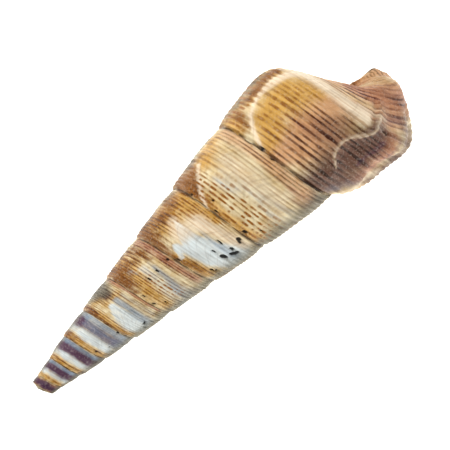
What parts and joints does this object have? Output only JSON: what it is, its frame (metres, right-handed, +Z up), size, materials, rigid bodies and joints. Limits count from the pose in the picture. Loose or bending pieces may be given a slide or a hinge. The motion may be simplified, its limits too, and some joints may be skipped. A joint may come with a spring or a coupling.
{
  "type": "turret shell",
  "caption": "Long, high-spired sea-snail shell with spiral lines, lying mouth down; the tube is hollow and open at the flared lip.",
  "frame": {"origin": "middle of the footprint, on the surface the shell lies on", "axes": "+X from the worn tip to the base along the shell's length, level; +Z up; the mouth faces down and towards +Y"},
  "size_m": [0.0602, 0.0194, 0.0187],
  "materials": {
    "shell": "Worn calcium carbonate with a low shine: cream and honey ground, brown spiral lines, bluish-white and lilac where the outer layer is worn off."
  },
  "bodies": {
    "root": {"shell": "shell"}
  },
  "joints": []
}
